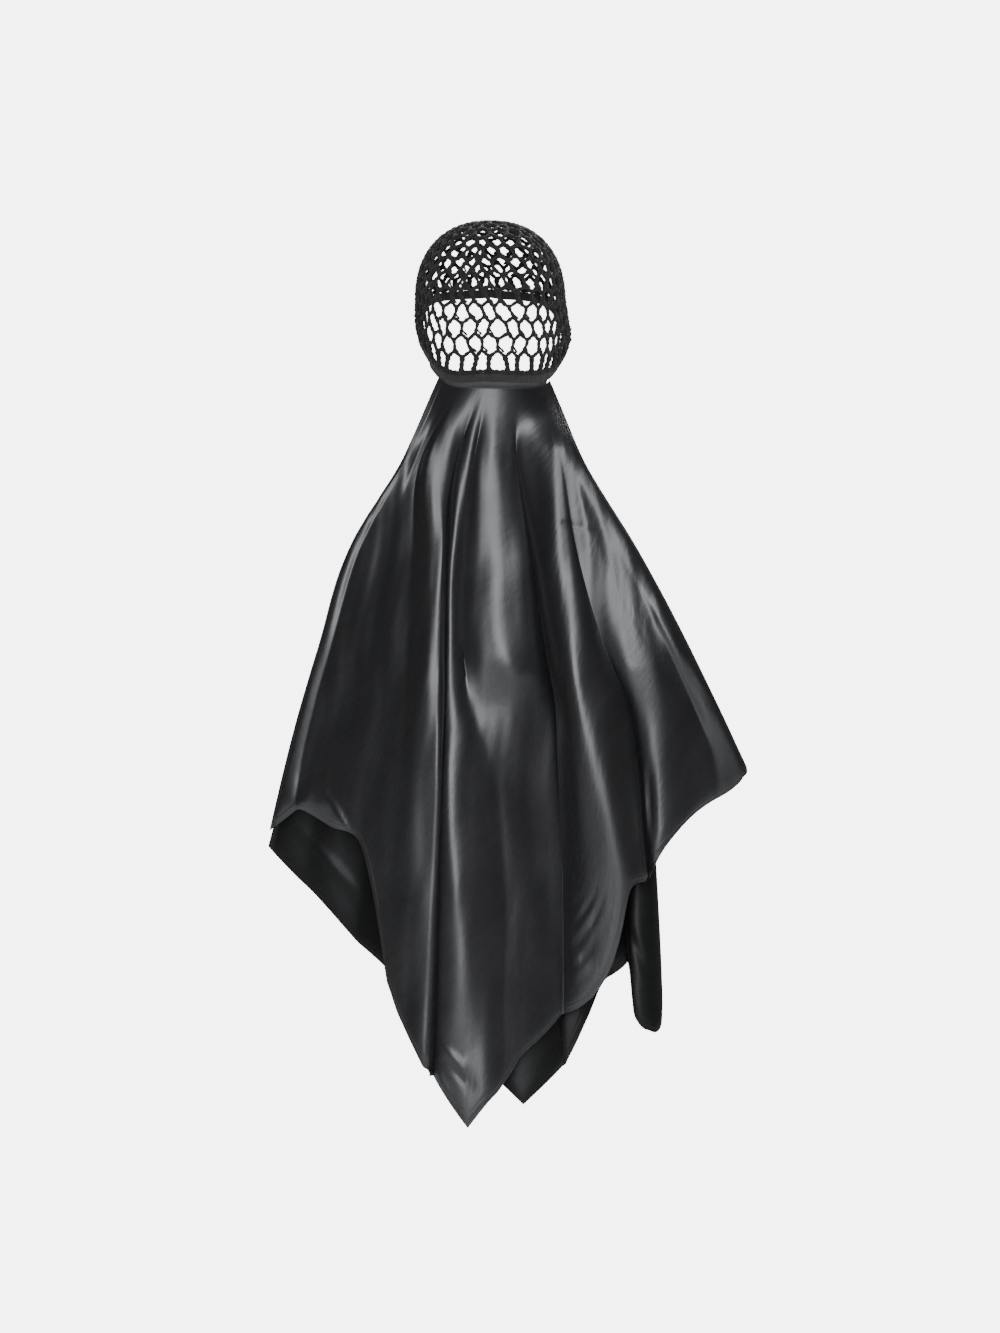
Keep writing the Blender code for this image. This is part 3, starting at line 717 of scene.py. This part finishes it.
def make_rim_band(material):
    """The elastic band: raised ribs across it, and a slower wave where it is gathered."""

    def ribs(around, turn):
        """Rib height as a share of half of the thickness."""
        rib = np.cos(around * BAND_RIBS) * np.ones_like(turn)
        return RIB_HEIGHT * rib + GATHER_HEIGHT * np.cos(around * BAND_GATHERS + 2 * turn)

    section = Section(low=-TUCK, height=BAND_HEIGHT + TUCK, thickness=BAND_THICKNESS, points=14)
    angles = ring_angles(BAND_RIBS * RIB_STATIONS)
    return rim_strip("rim_band_knit", angles, section, ribs, True, material)


def make_binding(material):
    """The satin binding: a folded strip, slightly puckered along its stitches."""

    def puckers(around, turn):
        """Pucker height as a share of half of the thickness, strongest on the outer side."""
        wave = 0.5 * np.cos(around * 61 + 1.3 * np.sin(around * 9))
        wave += 0.5 * np.cos(around * 37 + 2)
        return PUCKER_HEIGHT * wave * np.sin(turn) ** 2

    section = Section(
        low=-(BINDING_HEIGHT + SEAT_GAP),
        height=BINDING_HEIGHT + TUCK,
        thickness=BINDING_THICKNESS,
        points=18,
    )
    angles = np.linspace(-BINDING_HALF_ANGLE, BINDING_HALF_ANGLE, BINDING_STATIONS)
    return rim_strip("nape_binding_satin", angles, section, puckers, False, material)


def seam_line(across):
    """Points of the seam under the binding, for places across given in metres."""
    around = np.linspace(-SEAM_HALF_ANGLE, SEAM_HALF_ANGLE, SEAM_STATIONS)
    drop = BINDING_HEIGHT + 2 * SEAT_GAP + SOLID_CLOTH / 2 - 2 * TUCK
    line = on_head(around, rim_polar(around, -drop), BINDING_THICKNESS / 2)
    return np.stack([np.interp(across, line[:, 0], line[:, k]) for k in range(3)], axis=-1)


def row_slopes(values):
    """Slope of a smooth curve at each row, and how level it is there, from 0 to 1.

    The slope is the harmonic mean of the steps at both sides, or level where they differ in
    sign, so that the curve has no crest or hollow but at a row.
    """
    steps = np.diff(values, axis=0)
    before, after = steps[:-1], steps[1:]
    same = before * after > 0
    mean = 2 * before * after / np.where(same, before + after, 1.0)
    inner = np.where(same, mean, 0.0)
    level = 1 - np.abs(inner) / np.maximum((np.abs(before) + np.abs(after)) / 2, 1e-9)
    ones = np.ones_like(steps[:1])
    slopes = np.concatenate([steps[:1], inner, steps[-1:]])
    return slopes, np.concatenate([ones, level, ones])


def at_rows(values, rows):
    """For each column its own row's values down the cloth."""
    return values[rows, :, np.arange(values.shape[2])].T


def between_rows(values, slopes, left, part):
    """Cubic between each two rows, for each column."""
    return cubic(part, at_rows(values, left), at_rows(slopes, left),
                 at_rows(values, left + 1), at_rows(slopes, left + 1))


def fold_grid(folds, corners, u, v):
    """Places across in metres, stand-outs as shares and depths as shares over a grid of u and v.

    u counts folds from the left edge and v runs from seam to hem. The place across is pushed
    from a crest towards a hollow by a half sine, which rounds crests and tightens hollows. The
    push and the stand-out grow from nothing at the seam. The hem is a smooth curve through the
    folds' hem depths, straight beside a corner.
    """
    rows = list(folds.values())
    left = np.clip(u.astype(int), 0, len(rows) - 2)
    part = u - left
    pinches = np.array([SHARP_HOLLOWS.get(name, HOLLOW_PINCH) for name in folds])

    def push(outs):
        """Sideways push as a share of the rows' spacing, less where the curve runs on."""
        _, level = row_slopes(outs)
        out1, out2 = at_rows(outs, left), at_rows(outs, left + 1)
        pinch = np.where(out1 > out2, pinches[left + 1], pinches[left])
        level = (1 - part) * at_rows(level, left) + part * at_rows(level, left + 1)
        return pinch * level * np.sin(math.pi * part) * np.tanh((out1 - out2) / FULL_PINCH_AT)

    hem = np.array([row.hem for row in rows])
    at_hem = hem[:, None, None] + np.zeros((len(rows), 1, len(u)))
    outs = [(0, *row.stand_out) for row in rows]
    low = [smooth_lookup(h, STATIONS, out) for h, out in zip(at_hem, outs)]
    at = part + push(np.stack(low))[0]
    straight = (1 - at) * hem[left] + at * hem[left + 1]
    cornered = np.array([name in corners for name in folds])
    keep = cornered[left] | cornered[left + 1]
    hems = np.where(keep, straight, smooth_lookup(left + at, np.arange(len(rows)), hem))

    depth = v[:, None] * hems[None, :]
    places = [(row.seam * HEAD_HALF_BREADTH, *map(across_place, row.across)) for row in rows]
    all_x = np.stack([smooth_lookup(depth, STATIONS, place) for place in places])
    all_out = np.stack([smooth_lookup(depth, STATIONS, out) for out in outs])
    x_slopes, _ = row_slopes(all_x)
    out_slopes, _ = row_slopes(all_out)
    widths = (1 - part) * at_rows(x_slopes, left) + part * at_rows(x_slopes, left + 1)
    opened = eased(depth / FOLDS_OPEN_BY)
    x = between_rows(all_x, x_slopes, left, part) + push(all_out) * widths * opened
    return x, opened * between_rows(all_out, out_slopes, left, part), depth


def across_place(share):
    """Place across in metres, from a share of half of the veil's span."""
    return VEIL_SIDE_SHIFT + share * VEIL_SPAN / 2


def crease_heights(x, down, creases, swells):
    """Sum of short ridges and soft swells.

    A crease falls off with the square of the distance from its line, as a bell curve does, and
    fades to nothing at its ends. A swell is a bell curve both across and down.
    """
    total = np.zeros_like(x)
    for c in creases:
        start = np.array([across_place(c.from_across), c.from_down * VEIL_DROP])
        way = np.array([across_place(c.to_across), c.to_down * VEIL_DROP]) - start
        dx, dz = x - start[0], down - start[1]
        t = (dx * way[0] + dz * way[1]) / (way @ way)
        on = np.clip(t, 0, 1)
        off = np.hypot(dx - on * way[0], dz - on * way[1])
        fade = np.sin(math.pi * np.clip(t, CREASE_END, 1 - CREASE_END))
        total += c.height * np.exp(-((off / c.half_width) ** 2)) * fade
    for s in swells:
        dx = (x - across_place(s.across)) / s.half_width
        dz = (down - s.down * VEIL_DROP) / s.half_height
        total += s.height * np.exp(-(dx**2) - dz**2)
    return total


def ripple_heights(x, down, spread):
    """Sum of long shallow waves down the cloth, each drifting sideways by a slow second wave."""
    total = np.zeros_like(x)
    for k, r in enumerate(RIPPLES):
        drift = RIPPLE_DRIFT * np.sin(math.tau * down / r.change + 1.9 * k)
        wave = math.tau * (x + r.slant * down) / (r.spacing * spread)
        total += r.height * np.sin(wave + drift + 2.3 * k)
    return total


def veil_surface(layer, u, v):
    """Middle surface of one layer.

    From the seam it swells out over the back and its sides wrap forward. Folds, creases and
    ripples are added to how far it stands out behind. The inner layer is held close to the
    outer one at the seam, where it is a little narrower, and parts from it below.
    """
    x, stand_out, depth = fold_grid(layer.folds, layer.corners, u, v)
    seam = seam_line(x[0])
    middle = seam_line(np.zeros(1))[0]
    across = (x - VEIL_SIDE_SHIFT) / (VEIL_SPAN / 2)
    below_top = (depth - SWELL_TOP_AT) / (1 - SWELL_TOP_AT)
    swell = BACK_SWELL * (eased(depth / SWELL_TOP_AT) - SWELL_RETURN * eased(below_top))
    taken = eased(depth / CAPE_TAKEN_BY)
    behind = taken * (swell - SIDE_WRAP * across**2 - middle[1]) - (1 - taken) * seam[:, 1]
    behind += FOLD_DEPTH * stand_out
    if layer.inner:
        parted, loose = eased(depth / LAYERS_PARTED_BY), eased(depth / SEAM_HELD_TO)
        apart = LAYER_SPACING - SEAM_SPACING - LOOSE_SPACING
        behind -= SEAM_SPACING + LOOSE_SPACING * loose + apart * parted
        x = x * (1 - INNER_NARROWED * loose * (1 - parted))
    down = depth * VEIL_DROP
    free = eased(depth / RIPPLES_GROWN_BY)
    behind += free * crease_heights(x, down, layer.creases, layer.swells)
    shifted = x + (INNER_RIPPLE_SHIFT if layer.inner else 0)
    spread = RIPPLE_SPREAD_TOP + RIPPLE_SPREAD_GROWTH * depth
    behind += free * ripple_heights(shifted, down, spread)
    uneven = (seam[:, 2] - middle[2]) * (1 - eased(depth / SEAM_EVENED_BY))
    return np.stack([x, -behind, middle[2] + uneven - down], axis=-1)


def run_along(points, axis):
    """Length so far along one axis of a grid of points."""
    steps = np.linalg.norm(np.diff(points, axis=axis), axis=-1)
    pad = [(0, 0), (0, 0)]
    pad[axis] = (1, 0)
    return np.cumsum(np.pad(steps, pad), axis=axis)


def hem_distances(middle):
    """Distance in from the nearest free edge, and the place along that edge, for each point."""
    across = run_along(middle, 1)
    down = run_along(middle, 0)
    edge_way = unit(np.gradient(middle[-1], axis=0))
    fall_way = unit(middle[-1] - middle[-8])
    square = np.sqrt(np.clip(1 - np.sum(edge_way * fall_way, axis=1) ** 2, 0.05, 1))
    to_hem = (down[-1:] - down) * square[None, :]
    to_left, to_right = across, across[:, -1:] - across
    distance = np.minimum(np.minimum(to_left, to_right), to_hem)
    return distance, np.where(distance == to_hem, across[-1:], down)


def wall_thickness(distance, v):
    """Thickness of the cloth: an eased step up within the hem, rounded off at the very edge."""
    extra = (HEM_THICKNESS - CLOTH_THICKNESS) * eased((HEM_WIDTH - distance) / HEM_STEP)
    rounded = np.sqrt(np.clip(distance / EDGE_ROUNDING, 0, 1))
    rounding = EDGE_THINNED_TO + (1 - EDGE_THINNED_TO) * rounded
    below_seam = eased(v * WALL_GROWTH)[:, None]
    return (CLOTH_THICKNESS + extra * below_seam) * (rounding * below_seam + (1 - below_seam))


def make_veil(name, layer, material):
    """One layer of cloth as a closed wall.

    The wall's two sides lie half of the thickness before and behind the middle surface, along
    its normals. The free edges turn in a little over their last few millimetres.
    """
    u = np.linspace(0, len(layer.folds) - 1, (len(layer.folds) - 1) * layer.columns + 1)
    last = layer.lines - 1
    hem_start = last - layer.lines // HEM_LINES_ONE_IN
    v = np.interp(np.arange(layer.lines), [0, hem_start, last], [0, HEM_LINES_FROM, 1])
    middle = veil_surface(layer, u, v)
    distance, along = hem_distances(middle)
    way_across, way_down = np.gradient(middle, axis=1), np.gradient(middle, axis=0)
    normal = unit(np.cross(way_down, way_across))
    normal *= np.where(normal[..., 1:2].mean() > 0, -1, 1)
    curl = -EDGE_CURL * np.exp(-((distance / CURL_WIDTH) ** 2)) * eased(v * CURL_GROWTH)[:, None]
    middle = middle + normal * curl[..., None]
    wall = wall_thickness(distance, v)
    front = middle + normal * wall[..., None] / 2
    back = middle - normal * wall[..., None] / 2
    sheet = grid_quads(*distance.shape)
    count = distance.size
    grid = np.arange(count).reshape(distance.shape)
    border = np.concatenate([grid[0], grid[1:, -1], grid[-1, -2::-1], grid[-2:0:-1, 0]])
    onward = np.roll(border, -1)
    rim = np.stack([border, border + count, onward + count, onward], axis=1)
    faces = np.concatenate([sheet[:, ::-1], sheet + count, rim])
    points = np.concatenate([front.reshape(-1, 3), back.reshape(-1, 3)])
    run, fall = run_along(middle, 1), run_along(middle, 0)
    turned = np.stack([run - fall, run + fall], axis=-1) * math.sqrt(0.5)

    def both(values):
        """The same values for the wall's front and back."""
        return np.concatenate([values.reshape(count, -1)] * 2)

    marks = {"hem": both(distance), "along": both(along)}
    return add_piece(name, points, faces, material, both(turned), marks)


def set_inputs(tree, node, inputs):
    """Give a node's inputs values, or link output sockets to them."""
    for key, value in inputs.items():
        if isinstance(value, bpy.types.NodeSocket):
            tree.links.new(value, node.inputs[key])
        else:
            node.inputs[key].default_value = value


def add_node(tree, kind, inputs=None, **settings):
    """Node of the given kind with its settings and inputs."""
    node = tree.nodes.new(kind)
    for key, value in settings.items():
        setattr(node, key, value)
    set_inputs(tree, node, inputs or {})
    return node


def new_material(name):
    """Empty Principled material, its node tree and its shader node."""
    material = bpy.data.materials.new(name)
    material.use_nodes = True
    tree = material.node_tree
    return material, tree, tree.nodes["Principled BSDF"]


def flat_places_of(tree):
    """The piece's flat places in metres."""
    return add_node(tree, "ShaderNodeUVMap", uv_map="cloth").outputs["UV"]


def noise(tree, places, scale, detail, stretch=None):
    """Soft noise at the places, which may be stretched first."""
    if stretch:
        stretched = add_node(tree, "ShaderNodeMapping", {"Vector": places, "Scale": stretch})
        places = stretched.outputs["Vector"]
    inputs = {"Vector": places, "Scale": scale, "Detail": detail}
    return add_node(tree, "ShaderNodeTexNoise", inputs).outputs["Fac"]


def worked_out(tree, operation, *values):
    """Result of a sum on numbers or sockets."""
    return add_node(tree, "ShaderNodeMath", dict(enumerate(values)), operation=operation).outputs[0]


def bent_normal(tree, height, strength, distance, under=None):
    """Normal bent by a height, over the relief `under` it if there is one."""
    inputs = {"Height": height, "Strength": strength, "Distance": distance}
    if under is not None:
        inputs["Normal"] = under
    return add_node(tree, "ShaderNodeBump", inputs).outputs["Normal"]


def blend_colours(tree, factor, low, high):
    """Colour ramp between two colours by a factor socket."""
    ramp = add_node(tree, "ShaderNodeValToRGB", {"Fac": factor})
    for element, colour, place in zip(ramp.color_ramp.elements, (low, high), (0.25, 0.75)):
        element.color = (*colour, 1)
        element.position = place
    return ramp.outputs["Color"]


def stitches(tree):
    """1 on the hem's dashed line of stitches and 0 elsewhere."""
    hem = add_node(tree, "ShaderNodeAttribute", attribute_name="hem").outputs["Fac"]
    along = add_node(tree, "ShaderNodeAttribute", attribute_name="along").outputs["Fac"]
    off = worked_out(tree, "ABSOLUTE", worked_out(tree, "SUBTRACT", hem, STITCHES_IN_FROM_EDGE))
    line = worked_out(tree, "LESS_THAN", off, STITCH_HALF_WIDTH)
    beat = worked_out(tree, "FRACT", worked_out(tree, "MULTIPLY", along, 1 / STITCH_SPACING))
    return worked_out(tree, "MULTIPLY", line, worked_out(tree, "LESS_THAN", beat, STITCH_SHARE))


def satin(name, dark, light, rough, gloss, stitched=True):
    """Satin: long shining floats of thread, a fine rib across, faint streaks and a stitched hem."""
    material, tree, shader = new_material(name)
    flat = flat_places_of(tree)
    thread = noise(tree, flat, 1.0, 2.0, stretch=(260.0, 2600.0, 1.0))
    streak = noise(tree, flat, 1.0, 4.0, stretch=(9.0, 260.0, 1.0))
    cloud = noise(tree, flat, 14.0, 3.0)
    roughness = add_node(tree, "ShaderNodeMapRange", {
        "Value": cloud, "From Min": 0.3, "From Max": 0.7, "To Min": rough[0], "To Max": rough[1]})
    normal = bent_normal(tree, thread, 0.2, 0.00012)
    normal = bent_normal(tree, noise(tree, flat, 75.0, 3.0), 0.3, 0.0008, under=normal)
    if stitched:
        normal = bent_normal(tree, stitches(tree), 0.6, 0.0004, under=normal)
    tangent = add_node(tree, "ShaderNodeTangent", direction_type="UV_MAP", uv_map="cloth")
    set_inputs(tree, shader, {
        "Base Color": blend_colours(tree, streak, dark, light),
        "Roughness": roughness.outputs["Result"],
        "Normal": normal,
        "Specular IOR Level": gloss,
        "Anisotropic": 0.35,
        "Tangent": tangent.outputs["Tangent"],
        "Coat Weight": 0.1,
        "Coat Roughness": 0.32,
        "Sheen Weight": 0.03,
        "Sheen Roughness": 0.4,
    })
    return material


def crochet_yarn(name):
    """Soft matt yarn: fine fibres along the cord, a slight brown cast, and a faint fuzzy sheen."""
    material, tree, shader = new_material(name)
    place = add_node(tree, "ShaderNodeTexCoord").outputs["Object"]
    fibre = noise(tree, flat_places_of(tree), 1.0, 3.0, stretch=(2600.0, 420.0, 1.0))
    cloud = noise(tree, place, 160.0, 3.0)
    set_inputs(tree, shader, {
        "Base Color": blend_colours(tree, cloud, (0.004, 0.0035, 0.0035), (0.016, 0.012, 0.01)),
        "Normal": bent_normal(tree, fibre, 0.5, 0.0003),
        "Roughness": 0.78,
        "Specular IOR Level": 0.3,
        "Sheen Weight": 0.12,
        "Sheen Roughness": 0.5,
    })
    return material


def elastic_knit(name):
    """Fine dark knit of the elastic, in rows along the band."""
    material, tree, shader = new_material(name)
    waves = {"Vector": flat_places_of(tree), "Scale": 320.0, "Distortion": 1.5, "Detail": 1.0}
    rows = add_node(tree, "ShaderNodeTexWave", waves, bands_direction="Y").outputs["Fac"]
    set_inputs(tree, shader, {
        "Base Color": blend_colours(tree, rows, (0.006, 0.006, 0.007), (0.02, 0.018, 0.018)),
        "Normal": bent_normal(tree, rows, 0.5, 0.0003),
        "Roughness": 0.8,
        "Sheen Weight": 0.2,
    })
    return material


def make_floor():
    """Round pale floor below the object."""
    turn = ring_angles(FLOOR_SIDES)
    height = np.full(FLOOR_SIDES, FLOOR_HEIGHT)
    points = np.stack([FLOOR_RADIUS * np.cos(turn), FLOOR_RADIUS * np.sin(turn), height], axis=-1)
    material, tree, shader = new_material("floor_paper")
    grain = noise(tree, add_node(tree, "ShaderNodeTexCoord").outputs["Object"], 30.0, 2.0)
    set_inputs(tree, shader, {
        "Base Color": blend_colours(tree, grain, (0.8, 0.8, 0.8), (0.84, 0.84, 0.84)),
        "Roughness": 0.9,
    })
    add_piece("floor", points, [list(range(FLOOR_SIDES))], material)


def aim(thing, target):
    """Turn a lamp or camera to look at a point."""
    way = np.array(target) - np.array(thing.location)
    level = math.hypot(way[0], way[1])
    turn = math.atan2(way[1], way[0]) - math.pi / 2
    thing.rotation_euler = (math.atan2(level, -way[2]), 0, turn)


def add_softbox(name, place, size, power):
    """Oblong area lamp that looks at the middle of the object."""
    lamp = bpy.data.lights.new(name, "AREA")
    lamp.shape = "RECTANGLE"
    lamp.size, lamp.size_y = size
    lamp.energy = power
    lamp.color = SOFTBOX_COLOUR
    box = bpy.data.objects.new(name, lamp)
    bpy.context.scene.collection.objects.link(box)
    box.location = place
    aim(box, LIT_POINT)


def add_camera():
    """Level camera straight behind the cap, framing as the photograph does."""
    lens = bpy.data.cameras.new("view")
    lens.sensor_width = SENSOR
    lens.lens = SENSOR * CAMERA_DISTANCE / PICTURE_HEIGHT
    camera = bpy.data.objects.new("view", lens)
    bpy.context.scene.collection.objects.link(camera)
    x, y, z = PICTURE_MIDDLE
    camera.location = (x, y - CAMERA_DISTANCE, z)
    aim(camera, PICTURE_MIDDLE)
    bpy.context.scene.camera = camera


def light_the_studio():
    """Dim even surroundings, white straight behind the object, and the soft boxes."""
    world = bpy.data.worlds.new("studio")
    world.use_nodes = True
    tree = world.node_tree
    way = add_node(tree, "ShaderNodeTexCoord").outputs["Generated"]
    parts = add_node(tree, "ShaderNodeSeparateXYZ", {"Vector": way})
    behind = add_node(tree, "ShaderNodeMapRange", {
        "Value": parts.outputs["Y"], "From Min": WHITE_FROM, "From Max": WHITE_TO,
        "To Min": SURROUND_LIGHT, "To Max": WHITE_LIGHT}, interpolation_type="SMOOTHSTEP")
    set_inputs(tree, tree.nodes["Background"], {
        "Color": (1.0, 1.0, 1.0, 1), "Strength": behind.outputs["Result"]})
    bpy.context.scene.world = world
    for softbox in SOFTBOXES:
        add_softbox(*softbox)


def main():
    """Dress the solids and light them."""
    black_satin = satin(
        "black_satin", dark=(0.002, 0.002, 0.0025), light=(0.005, 0.005, 0.006),
        rough=(0.37, 0.44), gloss=0.8)
    satin_back = satin(
        "satin_reverse", dark=(0.002, 0.002, 0.002), light=(0.005, 0.005, 0.005),
        rough=(0.46, 0.54), gloss=0.22)
    binding_satin = satin(
        "binding_satin", dark=(0.006, 0.006, 0.007), light=(0.014, 0.014, 0.016),
        rough=(0.32, 0.4), gloss=0.9, stitched=False)
    yarn = crochet_yarn("crochet_yarn")
    elastic = elastic_knit("elastic_knit")

    for piece in make_net(yarn):
        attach(piece, "root")
        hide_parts("net_crown")
    band = make_rim_band(elastic)
    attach(band, "root")
    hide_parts("rim_band")
    binding = make_binding(binding_satin)
    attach(binding, "root")
    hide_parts("nape_binding")

    outer = make_veil("veil_outer_satin", OUTER_LAYER, black_satin)
    inner = make_veil("veil_inner_satin", INNER_LAYER, satin_back)
    for layer, node, slot in ((outer, "veil_outer", "satin"), (inner, "veil_inner", "satin_inner")):
        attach(layer, "root")
        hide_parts(node)

    make_floor()
    light_the_studio()
    add_camera()


main()
